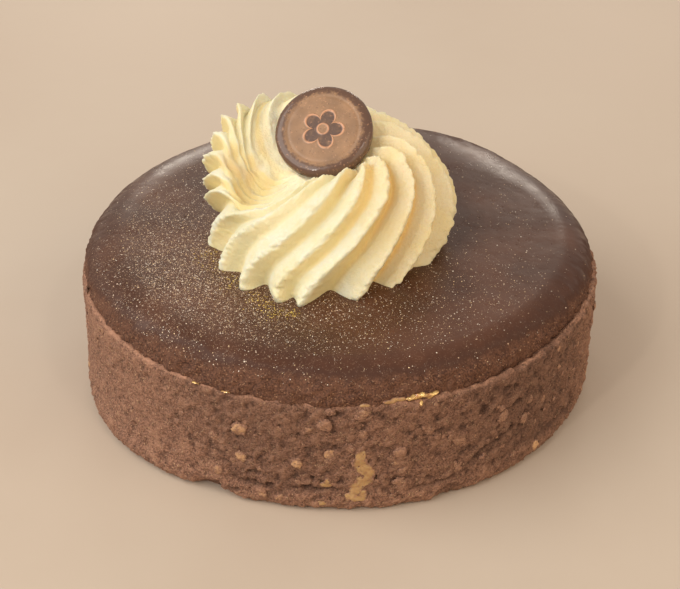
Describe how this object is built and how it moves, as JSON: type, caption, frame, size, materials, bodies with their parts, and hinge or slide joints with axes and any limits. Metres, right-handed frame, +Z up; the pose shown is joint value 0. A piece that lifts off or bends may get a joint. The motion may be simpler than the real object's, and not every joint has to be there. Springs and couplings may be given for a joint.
{
  "type": "chocolate tart",
  "caption": "Round chocolate tart: straight rough cocoa crust, domed smooth glaze, an off-centre piped cream swirl and a leaning chocolate disc.",
  "frame": {"origin": "centre of the crust's flat foot", "axes": "+Z up through the tart, -Y towards the viewer of the picture, +X to the viewer's right"},
  "size_m": [0.0906, 0.0912, 0.0497],
  "materials": {
    "crust": "baked cocoa shortcrust, rough and grainy",
    "glaze": "set chocolate glaze, smooth with a soft sheen and fine shimmer",
    "cream": "piped vanilla cream, soft satin",
    "disc": "milk chocolate, polished edge with a bronze bloom"
  },
  "bodies": {
    "root": {"crust": "crust", "glaze": "glaze", "cream": "cream", "disc": "disc"}
  },
  "joints": []
}
